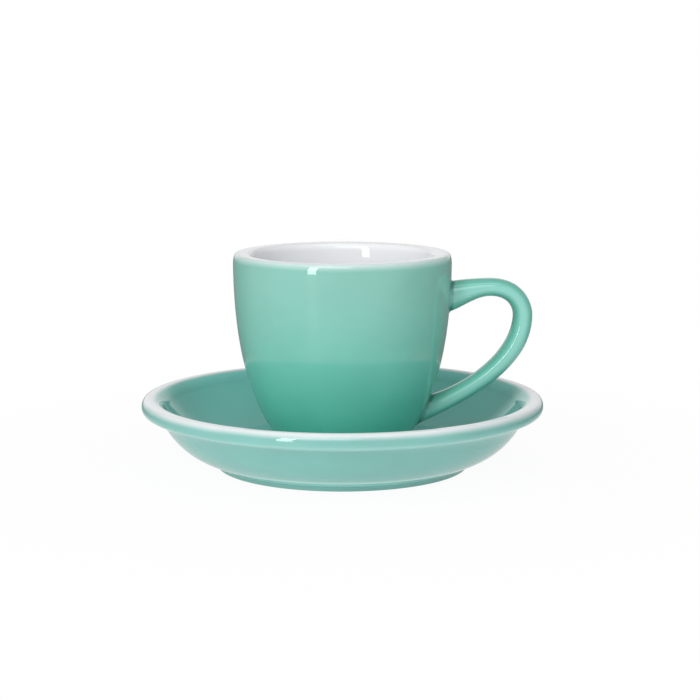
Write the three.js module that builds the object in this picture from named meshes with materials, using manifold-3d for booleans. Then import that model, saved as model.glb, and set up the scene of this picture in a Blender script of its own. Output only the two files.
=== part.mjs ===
// Espresso cup and saucer: a thick-walled cup with a cast ear handle, standing in the well of a deep saucer.
// Millimetres, +Z up. The origin is on the common axis at table level, and the handle points along +X.

import * as THREE from 'three';
import { mergeVertices } from 'three/addons/utils/BufferGeometryUtils.js';
import Module from 'manifold-3d';

// Saucer
const saucerRadius = 58.5;
const saucerHeight = 20.4;
const saucerWall = 4.1;
const saucerRimWall = 2.5;
const saucerFootRadius = 36.8;
const saucerFootWidth = 3.2;
const saucerFootHeight = 1.9;
const saucerFootLedge = 0.5;
const rimWidth = 5.5;
const rimHeight = 4.3;
const rimOverhang = 4.8;
const rimTopRound = 2.4;
const rimUnderRound = 2.2;
const wellDepth = 0.6;
const wellClearance = 1.0;

// Cup
const cupHeight = 57.0;
const lipRadius = 31.65;
const lipOuterRound = 1.0;
const lipInnerRound = 2.4;
const cupWall = 5.6;
const cupFloor = 5.5;
const cupFootRadius = 17.6;
const cupFootWidth = 2.6;
const cupFootHeight = 1.7;
const cupFootFlare = 0.6;

// Both foot rings narrow by this much from their root to the face they stand on
const footLean = 0.5;

// Handle: reach, top and upper joint are measured from the lip, and the lower joint from the cup's foot
const handleReach = 23.5;
const handleDrop = 7.45;
const handleSetback = 12.2;
const handleShoulder = 10.6;
const handleCrownThickness = 5.15;
const handleSideThickness = 5.65;
const handleWidth = 8.4;
const handleEdgeFlat = 0.6;
const handleFaceFlat = 2.0;
const upperJointDrop = 8.3;
const upperJointHeight = 8.95;
const lowerJointRise = 6.3;
const lowerJointHeight = 8.9;
const jointDepth = 1.7;
const jointGap = 0.3;

// Facets
const saucerFacets = 60;
const cupFacets = 52;
const curveSteps = 7;
const handleSteps = 9;
const edgeSteps = 3;

const tealGlaze = 0x66b6a3;
const glazeRoughness = 0.12;

const wasm = await Module();
wasm.setup();

function glazed(name, geometry) {
  const glaze = { color: tealGlaze, roughness: glazeRoughness, metalness: 0 };
  const mesh = new THREE.Mesh(geometry, new THREE.MeshStandardMaterial(glaze));
  mesh.name = name;
  return mesh;
}

function beyond(point, run, rise) {
  return new THREE.Vector2(point.x + run, point.y + rise);
}

// A cubic bend between two points. Its leave and arrive are the shares of the run and of the rise between
// the points that it keeps its first and its last direction for.
function bend(start, end, leave, arrive) {
  const run = end.x - start.x;
  const rise = end.y - start.y;
  const first = beyond(start, run * leave[0], rise * leave[1]);
  const second = beyond(end, -run * arrive[0], -rise * arrive[1]);
  return new THREE.CubicBezierCurve(start, first, second, end);
}

function follow(path, curve) {
  path.bezierCurveTo(curve.v1.x, curve.v1.y, curve.v2.x, curve.v2.y, curve.v3.x, curve.v3.y);
}

// A curve moved sideways, to the left of its direction, by a distance that changes towards its end
function besideCurve(curve, first, last) {
  const moved = [];
  for (let step = 0; step <= curveSteps; step += 1) {
    const share = step / curveSteps;
    const distance = first + (last - first) * share ** 3;
    const point = curve.getPoint(share);
    const along = curve.getTangent(share);
    moved.push(beyond(point, -along.y * distance, along.x * distance));
  }
  return moved;
}

// A turned solid from a profile of radius and height, with its axis along +Z
function turned(profile, facets) {
  const geometry = new THREE.LatheGeometry(profile.getPoints(curveSteps), facets);
  geometry.rotateX(Math.PI / 2);
  return geometry;
}

function toSolid(geometry) {
  const bare = geometry.clone();
  bare.deleteAttribute('normal');
  bare.deleteAttribute('uv');
  const welded = mergeVertices(bare);
  const corners = welded.index.array;
  const triangles = [];
  for (let i = 0; i < corners.length; i += 3) {
    const triangle = corners.slice(i, i + 3);
    if (new Set(triangle).size === 3) {
      triangles.push(...triangle);
    }
  }
  const vertProperties = new Float32Array(welded.attributes.position.array);
  const triVerts = new Uint32Array(triangles);
  return new wasm.Manifold(new wasm.Mesh({ numProp: 3, vertProperties, triVerts }));
}

function toGeometry(solid) {
  const mesh = solid.getMesh();
  const geometry = new THREE.BufferGeometry();
  geometry.setAttribute('position', new THREE.BufferAttribute(mesh.vertProperties, 3));
  geometry.setIndex(new THREE.BufferAttribute(mesh.triVerts, 1));
  geometry.computeVertexNormals();
  return geometry;
}

// The saucer's bowl, outside, runs from the foot ring out and up to the underside of the rim.
// Its two end directions cross at these shares of its run and of its rise.
const bowlTurn = { run: 0.7, rise: 0.19 };
const bowlStart = new THREE.Vector2(saucerFootRadius + saucerFootLedge, saucerFootHeight);
const bowlEnd = new THREE.Vector2(saucerRadius - rimOverhang, saucerHeight - rimHeight);
const bowlCorner = beyond(
  bowlStart,
  (bowlEnd.x - bowlStart.x) * bowlTurn.run,
  (bowlEnd.y - bowlStart.y) * bowlTurn.rise,
);
const bowlOutside = new THREE.QuadraticBezierCurve(bowlStart, bowlCorner, bowlEnd);
const bowlInside = besideCurve(bowlOutside, saucerWall, saucerRimWall).reverse();
const saucerFloor = bowlInside.at(-1).y;
const wellFloor = saucerFloor - wellDepth;

function makeSaucer() {
  const footInside = saucerFootRadius - saucerFootWidth;
  const rimCrest = saucerRadius - rimWidth / 2;
  const wellRadius = cupFootRadius + wellClearance;
  const profile = new THREE.Path();
  profile.moveTo(0, saucerFootHeight);
  profile.lineTo(footInside - footLean, saucerFootHeight);
  profile.lineTo(footInside, 0);
  profile.lineTo(saucerFootRadius, 0);
  profile.lineTo(saucerFootRadius, saucerFootHeight);
  profile.lineTo(bowlStart.x, bowlStart.y);
  profile.quadraticCurveTo(bowlCorner.x, bowlCorner.y, bowlEnd.x, bowlEnd.y);
  profile.lineTo(saucerRadius - rimUnderRound, bowlEnd.y);
  profile.quadraticCurveTo(saucerRadius, bowlEnd.y, saucerRadius, saucerHeight - rimTopRound);
  profile.quadraticCurveTo(saucerRadius, saucerHeight, rimCrest, saucerHeight);
  profile.quadraticCurveTo(saucerRadius - rimWidth, saucerHeight, bowlInside[0].x, bowlInside[0].y);
  for (const point of bowlInside.slice(1)) {
    profile.lineTo(point.x, point.y);
  }
  profile.lineTo(wellRadius + wellDepth, saucerFloor);
  profile.lineTo(wellRadius, wellFloor);
  profile.lineTo(0, wellFloor);
  return glazed('saucer', turned(profile, saucerFacets));
}

// The cup's wall, outside, is one sweep from the top of the foot ring to the upright lip
const wallFoot = new THREE.Vector2(cupFootRadius + cupFootFlare, cupFootHeight);
const wallTop = new THREE.Vector2(lipRadius, cupHeight - lipOuterRound);
const wallOutside = bend(wallFoot, wallTop, [0.617, 0.197], [0, 0.519]);

function makeCupBody() {
  const footInside = cupFootRadius - cupFootWidth;
  const insideTop = new THREE.Vector2(lipRadius - cupWall, cupHeight - lipInnerRound);
  const insideFloor = new THREE.Vector2(0, cupFootHeight + cupFloor);
  const profile = new THREE.Path();
  profile.moveTo(0, cupFootHeight);
  profile.lineTo(footInside - footLean, cupFootHeight);
  profile.lineTo(footInside, 0);
  profile.lineTo(cupFootRadius, 0);
  profile.lineTo(wallFoot.x, wallFoot.y);
  follow(profile, wallOutside);
  profile.quadraticCurveTo(lipRadius, cupHeight, lipRadius - lipOuterRound, cupHeight);
  profile.lineTo(insideTop.x + lipInnerRound, cupHeight);
  profile.quadraticCurveTo(insideTop.x, cupHeight, insideTop.x, insideTop.y);
  follow(profile, bend(insideTop, insideFloor, [0, 0.66], [0.87, 0]));
  return glazed('cup_body', turned(profile, cupFacets));
}

// The place on the cup's wall, outside, at a height above the cup's foot
function onWall(height) {
  let below = 0;
  let above = 1;
  while (above - below > 1e-9) {
    const middle = (below + above) / 2;
    if (wallOutside.getPoint(middle).y < height) {
      below = middle;
    } else {
      above = middle;
    }
  }
  return wallOutside.getPoint(below);
}

// The handle from the side: its outer outline from the upper joint to the lower one, then its inner one back
function handleOutline(depth) {
  const side = new THREE.Vector2(lipRadius + handleReach, cupHeight - handleDrop - handleShoulder);
  const crown = beyond(side, -handleSetback, handleShoulder);
  const innerSide = beyond(side, -handleSideThickness, 0);
  const innerCrown = beyond(crown, 0, -handleCrownThickness);
  const upperTop = onWall(cupHeight - upperJointDrop);
  const upperBottom = onWall(upperTop.y - upperJointHeight);
  const lowerBottom = onWall(lowerJointRise);
  const lowerTop = onWall(lowerJointRise + lowerJointHeight);
  const outline = new THREE.Shape();
  outline.moveTo(upperTop.x - depth, upperTop.y);
  outline.lineTo(upperTop.x, upperTop.y);
  follow(outline, bend(upperTop, crown, [0.24, 0.53], [0.335, 0]));
  follow(outline, bend(crown, side, [0.82, 0], [0, 0.26]));
  follow(outline, bend(side, lowerBottom, [0, 0.475], [0.51, 0.25]));
  outline.lineTo(lowerBottom.x - depth, lowerBottom.y);
  outline.lineTo(lowerTop.x - depth, lowerTop.y);
  outline.lineTo(lowerTop.x, lowerTop.y);
  follow(outline, bend(lowerTop, innerSide, [0.525, 0.17], [0, 0.417]));
  follow(outline, bend(innerSide, innerCrown, [0, 0.41], [0.74, 0]));
  follow(outline, bend(innerCrown, upperBottom, [0.36, 0], [0.34, 0.29]));
  outline.lineTo(upperBottom.x - depth, upperBottom.y);
  outline.closePath();
  return outline;
}

// The space inside the cup's wall, grown by the joint's gap, which trims both ends of the handle
function wallWithGap() {
  const profile = new THREE.Path();
  profile.moveTo(0, wallFoot.y);
  for (const point of besideCurve(wallOutside, -jointGap, -jointGap)) {
    profile.lineTo(point.x, point.y);
  }
  profile.lineTo(0, wallTop.y);
  return turned(profile, cupFacets);
}

function makeCupHandle() {
  const thinnest = Math.min(handleCrownThickness, handleSideThickness);
  const edgeRound = (thinnest - handleEdgeFlat) / 2;
  const faceRound = (handleWidth - handleFaceFlat) / 2;
  const bar = new THREE.ExtrudeGeometry(handleOutline(edgeRound + jointDepth), {
    depth: handleFaceFlat,
    bevelSize: edgeRound,
    bevelThickness: faceRound,
    bevelOffset: -edgeRound,
    bevelSegments: edgeSteps,
    curveSegments: handleSteps,
  });
  bar.translate(0, 0, -handleFaceFlat / 2);
  bar.rotateX(Math.PI / 2);
  return glazed('cup_handle', toGeometry(toSolid(bar).subtract(toSolid(wallWithGap()))));
}

const cup = new THREE.Group();
cup.add(makeCupBody(), makeCupHandle());
cup.position.z = wellFloor;

const cupAndSaucer = new THREE.Group();
cupAndSaucer.add(makeSaucer(), cup);

export default cupAndSaucer;
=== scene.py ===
import math

import bmesh
import bpy
from mathutils import Matrix, Vector
from mathutils.geometry import interpolate_bezier


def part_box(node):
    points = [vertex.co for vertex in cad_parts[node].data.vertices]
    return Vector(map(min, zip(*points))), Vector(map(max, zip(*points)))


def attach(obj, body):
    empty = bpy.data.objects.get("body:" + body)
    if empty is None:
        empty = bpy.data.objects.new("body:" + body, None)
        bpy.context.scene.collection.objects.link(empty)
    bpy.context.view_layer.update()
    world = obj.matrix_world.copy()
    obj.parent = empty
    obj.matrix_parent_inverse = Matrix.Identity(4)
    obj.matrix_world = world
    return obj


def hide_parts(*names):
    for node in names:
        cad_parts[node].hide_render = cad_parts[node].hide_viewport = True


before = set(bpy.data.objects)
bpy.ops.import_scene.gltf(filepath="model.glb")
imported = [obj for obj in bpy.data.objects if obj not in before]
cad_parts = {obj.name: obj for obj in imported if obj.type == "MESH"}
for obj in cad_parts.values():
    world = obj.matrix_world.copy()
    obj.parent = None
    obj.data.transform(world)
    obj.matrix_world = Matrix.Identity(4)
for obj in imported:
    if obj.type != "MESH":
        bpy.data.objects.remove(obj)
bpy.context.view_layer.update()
mm = 0.001  # profiles are drawn in millimetres and the scene is in metres
samePoint = 0.001  # mm; a profile leaves out a point that is nearer than this to the last one
mergeGap = 0.002  # mm; points of a turned shape that are nearer than this become one
print("frame loaded:", ", ".join(sorted(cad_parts)))


def at(radius, height):
    return Vector((radius, 0, height))


def bezier(start, first, second, end, count):
    return [Vector(point) for point in interpolate_bezier(start, first, second, end, count)]


def bend(start, end, leave, arrive, count):
    # leave and arrive say how far the curve heads on at its ends, as shares of the run and of the rise
    run = end.x - start.x
    rise = end.z - start.z
    first = start + at(run * leave[0], rise * leave[1])
    second = end - at(run * arrive[0], rise * arrive[1])
    return bezier(start, first, second, end, count)


def curveBy(start, corner, end, count):
    # a round turn that heads for the corner from both ends
    pull = 2 / 3
    return bezier(start, start.lerp(corner, pull), end.lerp(corner, pull), end, count)


def softCorner(before, corner, after, size, count=6):
    # the turn alone, from size before the corner to size after it
    start = corner + (before - corner).normalized() * size
    end = corner + (after - corner).normalized() * size
    return curveBy(start, corner, end, count)


def straight(start, end, count):
    return [start.lerp(end, step / (count - 1)) for step in range(count)]


def beside(points, first, last):
    # the same curve moved to the left of its direction, by a distance that changes mostly near its end
    lateness = 3
    final = len(points) - 1
    moved = []
    for index, point in enumerate(points):
        ahead = points[min(index + 1, final)]
        behind = points[max(index - 1, 0)]
        along = (ahead - behind).normalized()
        distance = first + (last - first) * (index / final) ** lateness
        moved.append(point + at(-along.z, along.x) * distance)
    return moved


class Profile:
    # a chain of points from the axis underneath, round the rim, to the axis inside
    def __init__(self):
        self.points = []
        self.lengths = []  # how far along the chain each point is

    def add(self, points):
        for point in points:
            gone = (point - self.points[-1]).length if self.points else 0
            if self.points and gone < samePoint:
                continue
            self.lengths.append(self.lengths[-1] + gone if self.lengths else 0)
            self.points.append(point)
        return self.lengths[-1]  # how far along the profile the stretch ends

    def addFoot(self, sizes, after, count):
        # the underside and the foot ring, up to its outer corner
        inner = sizes["footRadius"] - sizes["footWidth"]
        size = sizes["footRound"]
        middle = at(0, sizes["footHeight"])
        root = at(inner - sizes["footLean"], sizes["footHeight"])
        toe = at(inner, 0)
        heel = at(sizes["footRadius"], 0)
        self.add(straight(middle, root - at(size, 0), count))
        self.add(softCorner(middle, root, toe, size))
        bareFrom = self.add(softCorner(root, toe, heel, size))
        bareTo = self.add(straight(self.points[-1], heel - at(size, 0), count=4))
        self.add(softCorner(toe, heel, after, size))
        return bareFrom, bareTo  # the flat stretch that stands on something

    def turn(self, steps, lift=0):
        bm = bmesh.new()
        alongLayer = bm.verts.layers.float.new("along")
        last = None
        for point, length in zip(self.points, self.lengths):
            vert = bm.verts.new((point + at(0, lift)) * mm)
            vert[alongLayer] = length
            if last:
                bm.edges.new((last, vert))
            last = vert
        bmesh.ops.spin(bm, geom=bm.verts[:] + bm.edges[:], cent=(0, 0, 0), axis=(0, 0, 1),
                       angle=math.tau, steps=steps, use_merge=True)
        bmesh.ops.remove_doubles(bm, verts=bm.verts, dist=mergeGap * mm)
        bmesh.ops.recalc_face_normals(bm, faces=bm.faces)
        return bm


def toPiece(bm, name, body, node, material):
    for face in bm.faces:
        face.smooth = True
    mesh = bpy.data.meshes.new(name)
    bm.to_mesh(mesh)
    bm.free()
    mesh.materials.append(material)
    piece = bpy.data.objects.new(name, mesh)
    bpy.context.scene.collection.objects.link(piece)
    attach(piece, body)
    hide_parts(node)
    print(f"{name}: {len(mesh.polygons)} faces")


# Glaze: colours are linear, and a noise is its size in millimetres and its detail
glaze = {
    "brokenAndSheen": (0.37, 0.67, 0.62),  # where the glaze runs thin over an edge, and painted sheen where light lines catch the edges
    "white": (0.82, 0.835, 0.85),
    "clay": (0.71, 0.69, 0.645),
    "pooled": 0.93,  # how much darker the teal is where it has run together
    "whitePooled": 0.975,
    "clayGrain": 0.82,  # how much darker the clay's specks are
    "poolNoise": (17, 2),
    "poolEdge": (0.3, 0.7),  # of the pool noise, from thin to pooled
    "fineNoise": (1.1, 3),
    "fineShare": 0.2,  # of the fine noise in the mottle, with the rest from the pools
    "grainNoise": (0.5, 4),
    "rippleNoise": (9, 1),
    "rippleHeight": 0.008,  # mm
    "driftNoise": (14, 2),  # moves the dipped edges to and fro
    "index": 1.54,
    "gloss": 0.02,
    "glossRange": 0.02,
    "clayRoughness": 0.75,
    "bareEdge": (0.1, 0.15),  # mm that the bare clay fades out beyond, and within, the flat of a foot
    "bareWander": 0.25,
}
beforeStart = (-2, -1)  # the rise of a band that is there from the start of the profile
pastEnd = (1000, 1001)  # the fall of a band that goes on to the end


def feed(tree, socket, value):
    # a socket takes another node's output, a colour or a number
    if isinstance(value, bpy.types.NodeSocket):
        tree.links.new(value, socket)
    elif isinstance(value, tuple):
        socket.default_value = (*value, 1)
    else:
        socket.default_value = value


def mathNode(tree, operation, first, second):
    node = tree.nodes.new("ShaderNodeMath")
    node.operation = operation
    feed(tree, node.inputs[0], first)
    feed(tree, node.inputs[1], second)
    return node.outputs[0]


def oneMinus(tree, value):
    return mathNode(tree, "SUBTRACT", 1, value)


def between(tree, share, low, high):
    return mathNode(tree, "ADD", mathNode(tree, "MULTIPLY", share, high - low), low)


def mixColours(tree, share, first, second, blend="MIX"):
    node = tree.nodes.new("ShaderNodeMix")
    node.data_type = "RGBA"
    node.blend_type = blend
    feed(tree, node.inputs["Factor"], share)
    colours = [socket for socket in node.inputs if socket.type == "RGBA"]
    for socket, value in zip(colours, (first, second)):
        feed(tree, socket, value)
    return next(socket for socket in node.outputs if socket.type == "RGBA")


def darker(colour, share):
    return tuple(share * part for part in colour)


def noiseNode(tree, size, detail):
    place = tree.nodes.new("ShaderNodeTexCoord")
    noise = tree.nodes.new("ShaderNodeTexNoise")
    noise.inputs["Scale"].default_value = 1 / (size * mm)
    noise.inputs["Detail"].default_value = detail
    tree.links.new(place.outputs["Object"], noise.inputs["Vector"])
    return noise.outputs["Fac"]


def rampNode(tree, value, low, high):
    node = tree.nodes.new("ShaderNodeMapRange")
    node.interpolation_type = "SMOOTHSTEP"
    feed(tree, node.inputs["Value"], value)
    feed(tree, node.inputs["From Min"], low)
    feed(tree, node.inputs["From Max"], high)
    return node.outputs["Result"]


def attributeNode(tree, name):
    node = tree.nodes.new("ShaderNodeAttribute")
    node.attribute_name = name
    return node.outputs["Fac"]


def newGroup(name, inputs, outputs):
    group = bpy.data.node_groups.new(name, "ShaderNodeTree")
    for label, kind in inputs:
        group.interface.new_socket(label, in_out="INPUT", socket_type=kind)
    for label, kind in outputs:
        group.interface.new_socket(label, in_out="OUTPUT", socket_type=kind)
    return group, group.nodes.new("NodeGroupInput").outputs, group.nodes.new("NodeGroupOutput").inputs


def makeBandGroup():
    # a band along the profile, whose edges wander a little as a dipped edge does
    number = "NodeSocketFloat"
    labels = ("Rise From", "Rise To", "Fall From", "Fall To", "Wander")
    group, given, made = newGroup("glazeBand", [(label, number) for label in labels], [("Band", number)])
    drift = mathNode(group, "SUBTRACT", noiseNode(group, *glaze["driftNoise"]), 0.5)  # to both sides alike
    drift = mathNode(group, "MULTIPLY", drift, given["Wander"])
    place = mathNode(group, "ADD", attributeNode(group, "along"), drift)
    rise = rampNode(group, place, given["Rise From"], given["Rise To"])
    fall = rampNode(group, place, given["Fall From"], given["Fall To"])
    feed(group, made["Band"], mathNode(group, "MULTIPLY", rise, oneMinus(group, fall)))
    return group


def makeSkinGroup():
    # glaze over clay: paler where it runs thin, pooled in patches, with a soft ripple and an uneven gloss
    number = "NodeSocketFloat"
    colour = "NodeSocketColor"
    teals = [(label, colour) for label in ("Deep", "Thin")]
    masks = [(label, number) for label in ("Thinness", "EdgeAndSheen", "White", "Bare")]
    results = [("Colour", colour), ("Roughness", number), ("Height", number)]
    group, given, made = newGroup("glazeSkin", teals + masks, results)

    pool = rampNode(group, noiseNode(group, *glaze["poolNoise"]), *glaze["poolEdge"])
    fine = noiseNode(group, *glaze["fineNoise"])
    grain = noiseNode(group, *glaze["grainNoise"])
    ripple = noiseNode(group, *glaze["rippleNoise"])
    mottle = mathNode(group, "ADD", mathNode(group, "MULTIPLY", pool, 1 - glaze["fineShare"]),
                      mathNode(group, "MULTIPLY", fine, glaze["fineShare"]))

    plain = (1, 1, 1)
    pooled = mixColours(group, mottle, plain, darker(plain, glaze["pooled"]))
    teal = mixColours(group, given["Thinness"], given["Deep"], given["Thin"])
    teal = mixColours(group, 1, teal, pooled, "MULTIPLY")
    # the pale edge colour: glaze thin over edges, and partly painted sheen and lightened shade
    teal = mixColours(group, given["EdgeAndSheen"], teal, glaze["brokenAndSheen"])
    white = mixColours(group, mottle, glaze["white"], darker(glaze["white"], glaze["whitePooled"]))
    clay = mixColours(group, grain, glaze["clay"], darker(glaze["clay"], glaze["clayGrain"]))
    glazed = mixColours(group, given["White"], teal, white)
    feed(group, made["Colour"], mixColours(group, given["Bare"], glazed, clay))

    gloss = between(group, pool, glaze["gloss"], glaze["gloss"] + glaze["glossRange"])
    dull = mathNode(group, "MULTIPLY", given["Bare"], glaze["clayRoughness"])
    feed(group, made["Roughness"], mathNode(group, "MAXIMUM", gloss, dull))
    smooth = mathNode(group, "MULTIPLY", ripple, oneMinus(group, given["Bare"]))
    rough = mathNode(group, "MULTIPLY", grain, given["Bare"])
    feed(group, made["Height"], mathNode(group, "ADD", smooth, rough))
    return group


bandGroup = makeBandGroup()
skinGroup = makeSkinGroup()


def bareBand(start, end):
    beyond, within = glaze["bareEdge"]
    return ("Bare", [start - beyond, start + within, end - within, end + beyond, glaze["bareWander"]])


def glazeMaterial(name, deep, thin, bands, ridgeSheen=None):
    # bands are pairs of a mask and where it rises, falls and wanders; a mask may have more than one band
    material = bpy.data.materials.new(name)
    material.use_nodes = True
    tree = material.node_tree
    shader = tree.nodes["Principled BSDF"]
    shader.inputs["IOR"].default_value = glaze["index"]
    skin = tree.nodes.new("ShaderNodeGroup")
    skin.node_tree = skinGroup
    feed(tree, skin.inputs["Deep"], deep)
    feed(tree, skin.inputs["Thin"], thin)
    for label, band in bands:
        node = tree.nodes.new("ShaderNodeGroup")
        node.node_tree = bandGroup
        for socket, value in zip(node.inputs, band):
            socket.default_value = value
        strength = node.outputs["Band"]
        if skin.inputs[label].is_linked:
            strength = mathNode(tree, "MAXIMUM", skin.inputs[label].links[0].from_socket, strength)
        feed(tree, skin.inputs[label], strength)
    if ridgeSheen:
        # the pale edge colour over the handle's sides: thin glaze and a painted sheen
        feed(tree, skin.inputs["EdgeAndSheen"], rampNode(tree, attributeNode(tree, "ridgeSheen"), *ridgeSheen))
    bump = tree.nodes.new("ShaderNodeBump")
    bump.inputs["Strength"].default_value = 1
    bump.inputs["Distance"].default_value = glaze["rippleHeight"] * mm
    feed(tree, bump.inputs["Height"], skin.outputs["Height"])
    feed(tree, shader.inputs["Base Color"], skin.outputs["Colour"])
    feed(tree, shader.inputs["Roughness"], skin.outputs["Roughness"])
    feed(tree, shader.inputs["Normal"], bump.outputs["Normal"])
    return material


print("glaze groups ready")


# Saucer, in millimetres
saucer = {
    "deep": (0.17, 0.54, 0.485),  # outside
    "thin": (0.19, 0.44, 0.4),  # inside
    "wall": 4.1,
    "rimWall": 2.5,  # the wall where it meets the rim
    "bowlCorner": (0.7, 0.19),  # what the bowl's curve heads for, as shares of its run and rise
    "footRadius": 36.8,
    "footWidth": 3.2,
    "footHeight": 1.9,
    "footLedge": 0.5,
    "footLean": 0.5,
    "footRound": 0.6,
    "footHollow": (0.4, 0.78),  # where the hollow above the foot starts and turns, as shares of its height
    "hollowPoints": 7,  # of the bowl's curve, taken up by that hollow
    "rimWidth": 5.5,
    "rimHeight": 4.3,
    "rimOverhang": 4.8,
    "rimTopRound": 2.4,
    "rimUnderRound": 2.2,
    "rimTuck": 0.3,  # how far the hollow under the rim turns below it
    "tuckPoints": 8,  # of the bowl's curve, taken up by that hollow
    "wellRadius": 18.6,
    "wellSlope": 0.6,
    "wellTopRound": 0.3,
    "wellEdgeRound": 0.4,
    "whiteOutside": (0.4, 3.0),  # from the widest point of the rim, up over it
    "whiteInside": (0.1, 2.3),  # from the crest of the rim, down the inside
    "footBreakAndSheen": (-4.5, -2.5, 0, 3.5),  # where the glaze breaks, with a painted light line for the floor's reflection, from the root of the foot
    "rimBreakAndSheen": (-2.8, -0.8, 0.2, 3.2),  # and from the lower edge of the rim, with painted light over the shaded crease below and the rim's face above
    "edgeWander": 0.5,
    "steps": 192,
}


def makeSaucer():
    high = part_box("saucer")[1]
    radius = high.x / mm
    height = high.z / mm
    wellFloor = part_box("cup_body")[0].z / mm
    footOut = saucer["footRadius"]
    footTop = saucer["footHeight"]
    bowlStart = at(footOut + saucer["footLedge"], footTop)
    bowlEnd = at(radius - saucer["rimOverhang"], height - saucer["rimHeight"])
    cornerRun, cornerRise = saucer["bowlCorner"]
    reach = bowlEnd - bowlStart
    corner = bowlStart + at(reach.x * cornerRun, reach.z * cornerRise)
    outside = curveBy(bowlStart, corner, bowlEnd, count=40)
    inside = beside(outside, saucer["wall"], saucer["rimWall"])[::-1]
    bowl = outside[saucer["hollowPoints"]:-saucer["tuckPoints"]]
    hollowFrom, hollowTurn = (at(footOut, share * footTop) for share in saucer["footHollow"])
    rimUnder = at(radius - saucer["rimUnderRound"], bowlEnd.z)
    widest = at(radius, height - saucer["rimTopRound"])
    crest = at(radius - saucer["rimWidth"] / 2, height)
    wellTop = at(saucer["wellRadius"] + saucer["wellSlope"], inside[-1].z)
    wellEdge = at(saucer["wellRadius"], wellFloor)
    middle = at(0, wellFloor)

    profile = Profile()
    bare = profile.addFoot(saucer, at(footOut, footTop), count=24)
    footBreakAndSheen = profile.add(curveBy(hollowFrom, hollowTurn, bowl[0], count=12))
    profile.add(bowl)
    rimBreakAndSheen = profile.add(curveBy(bowl[-1], bowlEnd - at(0, saucer["rimTuck"]), rimUnder, count=16))
    whiteFrom = profile.add(curveBy(rimUnder, at(radius, bowlEnd.z), widest, count=14))
    whiteTo = profile.add(curveBy(widest, at(radius, height), crest, count=18))
    profile.add(curveBy(crest, at(radius - saucer["rimWidth"], height), inside[0], count=18))
    profile.add(inside)
    profile.add(straight(inside[-1], wellTop, count=22))
    profile.add(softCorner(inside[-1], wellTop, wellEdge, saucer["wellTopRound"], count=4))
    profile.add(softCorner(wellTop, wellEdge, middle, saucer["wellEdgeRound"], count=4))
    profile.add(straight(profile.points[-1], middle, count=22))

    rise = [whiteFrom + edge for edge in saucer["whiteOutside"]]
    fall = [whiteTo + edge for edge in saucer["whiteInside"]]
    wander = saucer["edgeWander"]
    bands = [
        ("Thinness", [*beforeStart, *fall, wander]),
        # painted light lines at the foot and under the rim, partly where the glaze breaks over the edges
        ("EdgeAndSheen", [*(footBreakAndSheen + edge for edge in saucer["footBreakAndSheen"]), wander]),
        ("EdgeAndSheen", [*(rimBreakAndSheen + edge for edge in saucer["rimBreakAndSheen"]), wander]),
        ("White", [*rise, *fall, wander]),
        bareBand(*bare),
    ]
    material = glazeMaterial("saucerGlaze", saucer["deep"], saucer["thin"], bands)
    toPiece(profile.turn(saucer["steps"]), "saucer_glazed", "saucer", "saucer", material)


# Cup, in millimetres; its profile stands on its own foot
cup = {
    "deep": (0.114, 0.535, 0.42),  # at the foot
    "thin": (0.203, 0.46, 0.394),  # at the lip
    "wall": 5.6,
    "floor": 5.5,
    "wallLeave": (0.617, 0.197),  # how the wall's curve leaves the foot and comes to the lip
    "wallArrive": (0, 0.519),
    "wallTopDrop": 1,
    "wallPoints": 72,
    "insideLeave": (0.12, 0.66),  # and how the inside leaves the lip and comes to the floor
    "insideArrive": (0.87, 0),
    "lipOuterRound": 1.3,
    "lipOuterDrop": 3.0,
    "lipInnerRound": 2.4,
    "lipInnerLean": 0.24,
    "footRadius": 17.6,
    "footWidth": 2.6,
    "footHeight": 1.7,
    "footFlare": 0.6,
    "footLean": 0.5,
    "footRound": 0.5,
    "flarePoints": 2,  # of the wall's curve, taken up by the turn above the foot
    "whiteOutside": (-3.0, 1.4),  # from the lip's outer edge, upwards
    "edgeWander": 0.4,
    "steps": 160,
}
cupLow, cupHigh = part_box("cup_body")
cupFoot = cupLow.z / mm
cupHeight = (cupHigh.z - cupLow.z) / mm
lipRadius = cupHigh.x / mm
wallFoot = at(cup["footRadius"] + cup["footFlare"], cup["footHeight"])
wallTop = at(lipRadius, cupHeight - cup["wallTopDrop"])
cupWallOutside = bend(wallFoot, wallTop, cup["wallLeave"], cup["wallArrive"], cup["wallPoints"])


def wallRadius(height):
    # the cup's wall, outside, at a height above the cup's foot
    for below, above in zip(cupWallOutside, cupWallOutside[1:]):
        if height <= above.z:
            share = (height - below.z) / (above.z - below.z)
            return below.lerp(above, share).x
    return lipRadius


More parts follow.
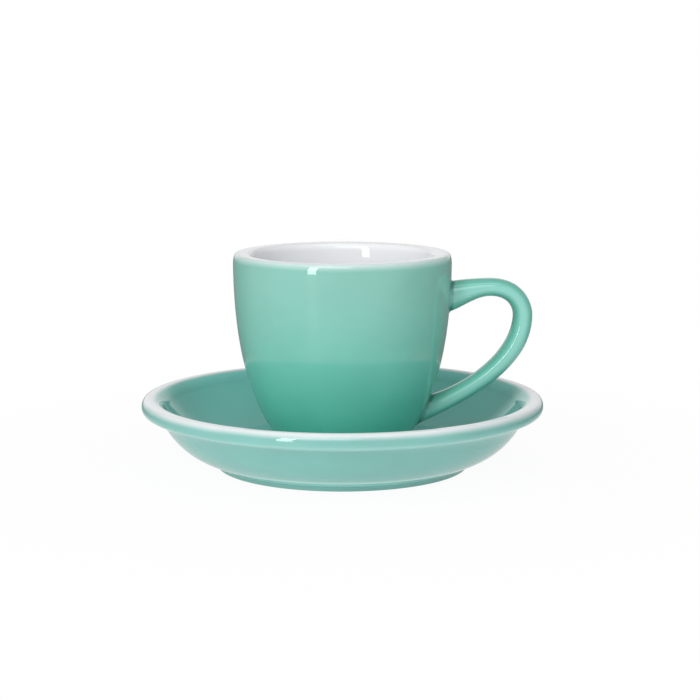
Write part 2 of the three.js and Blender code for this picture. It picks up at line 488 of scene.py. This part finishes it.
def makeCup():
    heel = at(cup["footRadius"], 0)
    wall = cupWallOutside[cup["flarePoints"]:]
    lipStart = cupHeight - cup["lipOuterDrop"]
    lipOut = at(lipRadius - cup["lipOuterRound"], cupHeight)
    insideTop = at(lipRadius - cup["wall"], cupHeight - cup["lipInnerRound"])
    lipIn = at(insideTop.x + cup["lipInnerRound"], cupHeight)
    lipInCorner = at(insideTop.x + cup["lipInnerLean"], cupHeight)
    insideFloor = at(0, cup["footHeight"] + cup["floor"])

    profile = Profile()
    bare = profile.addFoot(cup, wallFoot, count=12)
    wallFrom = profile.add(softCorner(heel, wallFoot, wall[0], cup["footRound"]))
    profile.add([point for point in wall if point.z < lipStart])
    lipEdge = profile.add(curveBy(profile.points[-1], at(lipRadius, cupHeight), lipOut, count=24))
    profile.add(straight(lipOut, lipIn, count=6))
    profile.add(curveBy(lipIn, lipInCorner, insideTop, count=14))
    profile.add(bend(insideTop, insideFloor, cup["insideLeave"], cup["insideArrive"], cup["wallPoints"]))

    rise = [lipEdge + edge for edge in cup["whiteOutside"]]
    wander = cup["edgeWander"]
    bands = [
        ("Thinness", [wallFrom, lipEdge, *pastEnd, wander]),
        ("White", [*rise, *pastEnd, wander]),
        bareBand(*bare),
    ]
    material = glazeMaterial("cupGlaze", cup["deep"], cup["thin"], bands)
    toPiece(profile.turn(cup["steps"], cupFoot), "cup_glazed", "cup", "cup_body", material)


# Handle, in millimetres, seen from the side with the cup's axis on the left
handle = {
    "pooled": (0.035, 0.21, 0.175),  # where the glaze fills the joint, with painted shade in the crease
    "colour": (0.142, 0.475, 0.383),
    "ridgeSheen": (0.7, 1.35),  # where the glaze runs thin over the sides, with a painted sheen as the light band along the arm, as shares of half the width
    "drop": 7.45,
    "setback": 12.2,
    "shoulder": 10.6,
    "crownThickness": 5.15,
    "sideThickness": 5.65,
    "width": 8.4,
    "squareness": 2.2,  # of the section, from 2 for an ellipse
    "upperJointDrop": 8.3,
    "upperJointHeight": 8.95,
    "lowerJointRise": 6.3,
    "lowerJointHeight": 8.9,
    "outerArch": ((0.24, 0.53), (0.335, 0)),  # how each curve leaves its start and comes to its end
    "outerShoulder": ((0.82, 0), (0, 0.26)),
    "outerArm": ((0, 0.475), (0.51, 0.25)),
    "innerArch": ((0.36, 0), (0.34, 0.29)),
    "innerShoulder": ((0, 0.41), (0.74, 0)),
    "innerArm": ((0.525, 0.17), (0, 0.417)),
    "buried": 1.3,  # how far the ends go into the wall
    "jointFillet": 0.6,
    "jointPoolAndShade": (0.5, 1.4),  # how far from the wall the pooled glaze and the painted shade fade out
    "edgeWander": 0.2,
    "stations": 34,
    "segments": 56,
}


def onWall(height):
    return at(wallRadius(height), height)


def withBuriedEnds(points):
    inward = at(-handle["buried"], 0)
    first, last = points[0], points[-1]
    return [first + inward, first + inward / 2, *points, last + inward / 2, last + inward]


def handleSections():
    # a frame for each cross-section, from the upper joint round to the lower one
    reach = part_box("cup_handle")[1].x / mm
    side = at(reach, cupHeight - handle["drop"] - handle["shoulder"])
    crown = side + at(-handle["setback"], handle["shoulder"])
    innerSide = side - at(handle["sideThickness"], 0)
    innerCrown = crown - at(0, handle["crownThickness"])
    upperHeight = cupHeight - handle["upperJointDrop"]
    upperTop = onWall(upperHeight)
    upperBottom = onWall(upperHeight - handle["upperJointHeight"])
    lowerBottom = onWall(handle["lowerJointRise"])
    lowerTop = onWall(handle["lowerJointRise"] + handle["lowerJointHeight"])

    count = handle["stations"]
    outer = bend(upperTop, crown, *handle["outerArch"], count)
    outer += bend(crown, side, *handle["outerShoulder"], count)[1:]
    outer += bend(side, lowerBottom, *handle["outerArm"], count * 2)[1:]
    inner = bend(innerCrown, upperBottom, *handle["innerArch"], count)[::-1]
    inner += bend(innerSide, innerCrown, *handle["innerShoulder"], count)[::-1][1:]
    inner += bend(lowerTop, innerSide, *handle["innerArm"], count * 2)[::-1][1:]

    deep = Vector((0, handle["width"] / 2, 0))
    sections = []
    for outside, inside in zip(withBuriedEnds(outer), withBuriedEnds(inner)):
        centre = (outside + inside) / 2 + at(0, cupFoot)
        across = (outside - inside) / 2
        onward = across.cross(deep).normalized()
        turned = Matrix((across, deep, onward)).transposed() * mm
        sections.append(Matrix.Translation(centre * mm) @ turned.to_4x4())
    return sections


def makeHandle():
    sections = handleSections()
    bm = bmesh.new()
    alongLayer = bm.verts.layers.float.new("along")
    ridgeLayer = bm.verts.layers.float.new("ridgeSheen")
    ring = bmesh.ops.create_circle(bm, cap_ends=False, segments=handle["segments"], radius=1)["verts"]
    for vert in ring:
        vert.co = [math.copysign(abs(part) ** (2 / handle["squareness"]), part) for part in vert.co]
    bmesh.ops.transform(bm, matrix=sections[0], verts=ring)
    rings = [ring]
    edges = bm.edges[:]
    for before, after in zip(sections, sections[1:]):
        pushed = bmesh.ops.extrude_edge_only(bm, edges=edges)["geom"]
        ring = [part for part in pushed if isinstance(part, bmesh.types.BMVert)]
        edges = [part for part in pushed if isinstance(part, bmesh.types.BMEdge) and part.is_boundary]
        bmesh.ops.transform(bm, matrix=after @ before.inverted(), verts=ring)
        rings.append(ring)
    bmesh.ops.holes_fill(bm, edges=[edge for edge in bm.edges if edge.is_boundary], sides=0)

    fillet = handle["jointFillet"]
    for ring, section in zip(rings, sections):  # the joints flare out onto the wall
        for vert in ring:
            place = vert.co / mm
            gap = math.hypot(place.x, place.y) - wallRadius(place.z - cupFoot)
            vert[alongLayer] = gap
            vert[ridgeLayer] = abs(place.y) / (handle["width"] / 2)
            if gap < fillet:
                short = fillet - max(gap, 0)
                flare = fillet - math.sqrt(fillet ** 2 - short ** 2)
                vert.co += (vert.co - section.translation).normalized() * flare * mm
    bmesh.ops.recalc_face_normals(bm, faces=bm.faces)
    # dark at the joints: pooled glaze and painted shade in the crease where the handle meets the wall
    bands = [("Thinness", [*handle["jointPoolAndShade"], *pastEnd, handle["edgeWander"]])]
    material = glazeMaterial("handleGlaze", handle["pooled"], handle["colour"], bands, handle["ridgeSheen"])
    toPiece(bm, "handle_glazed", "cup", "cup_handle", material)


makeSaucer()
makeCup()
makeHandle()


# Studio: metres, and radiance where 1 is white
studio = {
    "floorSize": 30,
    "floorDrop": 0.00005,  # keeps the floor just clear of the foot
    "floorColour": (0.86, 0.86, 0.86),
    "floorGlow": 0.95,  # how much of the seen floor is plain white, with the rest showing the shadow
    "floorFade": (0.06, 0.2),  # how far out the seen floor turns all white
    "floorLift": 0.34,  # light from the floor itself
    "floorPolish": (0.16, 0.45),  # how strongly, and how roughly, the floor mirrors the lamps into the glaze
    "floorShine": (0.15, 0.72),  # the floor as the glaze reflects it, behind and in front
    "floorNear": (0.09, 0.15),  # how far out the floor is as bright as in front
    "frontWay": (-0.4, -1, 0),
    "floorFront": (-0.1, 0.15),  # where the floor turns bright, along that way
    "ambient": 0.48,
    "ambientLean": (-0.1, -0.46, 0.14),  # how much more light comes from each side
    "backShine": 0.9,  # the backdrop and the rest of the room, as the glaze reflects them
    "roomShine": 0.39,
    "backSides": (0.8, 0.96),  # where the backdrop begins at its sides, and where it ends above
    "backTop": (0.25, 0.6),
    "lampAim": (0, 0, 0.035),
    "lamps": {
        "frontSoftbox": {"place": (-0.24, -0.95, 0.98), "size": (0.9, 0.6), "radiance": 2.6},
        "topSoftbox": {"place": (0.05, -0.12, 0.9), "size": (0.5, 0.25), "radiance": 1.5},
        "stripSoftbox": {"place": (-0.62, -1.03, 0.37), "size": (0.2, 0.75), "radiance": 8.5},
    },
}


def areaLamp(name, place, size, radiance):
    lamp = bpy.data.lights.new(name, "AREA")
    lamp.shape = "RECTANGLE"
    lamp.size, lamp.size_y = size
    lamp.energy = radiance * math.pi * size[0] * size[1]
    holder = bpy.data.objects.new(name, lamp)
    holder.location = place
    holder.rotation_euler = (Vector(studio["lampAim"]) - Vector(place)).to_track_quat("-Z", "Y").to_euler()
    bpy.context.scene.collection.objects.link(holder)


def rayNodes(tree):
    # what the camera sees, what the glaze mirrors, and the rest, which only lights
    path = tree.nodes.new("ShaderNodeLightPath").outputs
    seen = path["Is Camera Ray"]
    mirrored = mathNode(tree, "MAXIMUM", path["Is Glossy Ray"], path["Is Transmission Ray"])
    mirrored = mathNode(tree, "SUBTRACT", mirrored, mathNode(tree, "MULTIPLY", mirrored, seen))
    return seen, mirrored, oneMinus(tree, mathNode(tree, "MAXIMUM", seen, mirrored))


def vectorNode(tree, operation, first, second=None):
    node = tree.nodes.new("ShaderNodeVectorMath")
    node.operation = operation
    tree.links.new(first, node.inputs[0])
    if second:
        node.inputs[1].default_value = second
    return node.outputs["Value"]


def mixShaders(tree, share, first, second):
    node = tree.nodes.new("ShaderNodeMixShader")
    feed(tree, node.inputs[0], share)
    if first:
        tree.links.new(first.outputs[0], node.inputs[1])
    tree.links.new(second.outputs[0], node.inputs[2])
    return node


def floorMaterial():
    material = bpy.data.materials.new("paleFloor")
    material.use_nodes = True
    tree = material.node_tree
    tree.nodes.clear()
    seen, mirrored, rest = rayNodes(tree)
    place = tree.nodes.new("ShaderNodeTexCoord").outputs["Object"]
    reach = vectorNode(tree, "LENGTH", place)
    ahead = vectorNode(tree, "DOT_PRODUCT", place, studio["frontWay"])

    away = rampNode(tree, reach, *studio["floorFade"])
    plain = mathNode(tree, "MULTIPLY", between(tree, away, studio["floorGlow"], 1), seen)
    near = oneMinus(tree, rampNode(tree, reach, *studio["floorNear"]))
    front = rampNode(tree, ahead, *studio["floorFront"])
    shine = between(tree, mathNode(tree, "MAXIMUM", near, front), *studio["floorShine"])
    shine = mathNode(tree, "MULTIPLY", shine, mirrored)
    lift = mathNode(tree, "MULTIPLY", rest, studio["floorLift"])
    glow = tree.nodes.new("ShaderNodeEmission")
    feed(tree, glow.inputs["Strength"], mathNode(tree, "ADD", mathNode(tree, "ADD", plain, shine), lift))

    matte = tree.nodes.new("ShaderNodeBsdfDiffuse")
    feed(tree, matte.inputs["Color"], studio["floorColour"])
    unlit = mathNode(tree, "MAXIMUM", plain, mirrored)
    shaded = mixShaders(tree, oneMinus(tree, unlit), None, matte)
    polish, roughness = studio["floorPolish"]
    polished = tree.nodes.new("ShaderNodeBsdfGlossy")
    polished.inputs["Roughness"].default_value = roughness
    shaded = mixShaders(tree, mathNode(tree, "MULTIPLY", mirrored, polish), shaded, polished)
    both = tree.nodes.new("ShaderNodeAddShader")
    tree.links.new(shaded.outputs[0], both.inputs[0])
    tree.links.new(glow.outputs[0], both.inputs[1])
    out = tree.nodes.new("ShaderNodeOutputMaterial")
    tree.links.new(both.outputs[0], out.inputs["Surface"])
    return material


def makeFloor():
    bm = bmesh.new()
    bmesh.ops.create_grid(bm, x_segments=1, y_segments=1, size=studio["floorSize"])
    bmesh.ops.translate(bm, verts=bm.verts, vec=(0, 0, -studio["floorDrop"]))
    mesh = bpy.data.meshes.new("floor")
    bm.to_mesh(mesh)
    bm.free()
    mesh.materials.append(floorMaterial())
    floor = bpy.data.objects.new("floor", mesh)
    bpy.context.scene.collection.objects.link(floor)


def makeWorld():
    world = bpy.data.worlds.new("studioWorld")
    bpy.context.scene.world = world
    world.use_nodes = True
    tree = world.node_tree
    sky = tree.nodes["Background"]
    sky.inputs["Color"].default_value = (1, 1, 1, 1)
    seen, mirrored, rest = rayNodes(tree)
    way = tree.nodes.new("ShaderNodeTexCoord").outputs["Generated"]
    split = tree.nodes.new("ShaderNodeSeparateXYZ")
    tree.links.new(way, split.inputs[0])

    behind = rampNode(tree, split.outputs["Y"], *studio["backSides"])
    low = oneMinus(tree, rampNode(tree, split.outputs["Z"], *studio["backTop"]))
    backdrop = mathNode(tree, "MULTIPLY", behind, low)
    shine = between(tree, backdrop, studio["roomShine"], studio["backShine"])
    shine = mathNode(tree, "MULTIPLY", shine, mirrored)
    lean = vectorNode(tree, "DOT_PRODUCT", way, studio["ambientLean"])
    ambient = mathNode(tree, "MAXIMUM", mathNode(tree, "ADD", lean, studio["ambient"]), 0)
    lit = mathNode(tree, "MULTIPLY", rest, ambient)
    strength = mathNode(tree, "ADD", mathNode(tree, "ADD", seen, shine), lit)
    feed(tree, sky.inputs["Strength"], strength)


makeFloor()
makeWorld()
for name, lamp in studio["lamps"].items():
    areaLamp(name, **lamp)
print("studio lit")


# Camera: metres, degrees and millimetres of lens and sensor
camera = {"place": (0.0022, -0.5595, 0.1241), "pitch": 80.824, "lens": 100, "sensor": 36}
lens = bpy.data.cameras.new("photoCamera")
lens.lens = camera["lens"]
lens.sensor_width = camera["sensor"]
shot = bpy.data.objects.new("photoCamera", lens)
shot.location = camera["place"]
shot.rotation_euler = (math.radians(camera["pitch"]), 0, 0)
bpy.context.scene.collection.objects.link(shot)
bpy.context.scene.camera = shot
bpy.context.scene.view_settings.view_transform = "Standard"
print("camera placed")
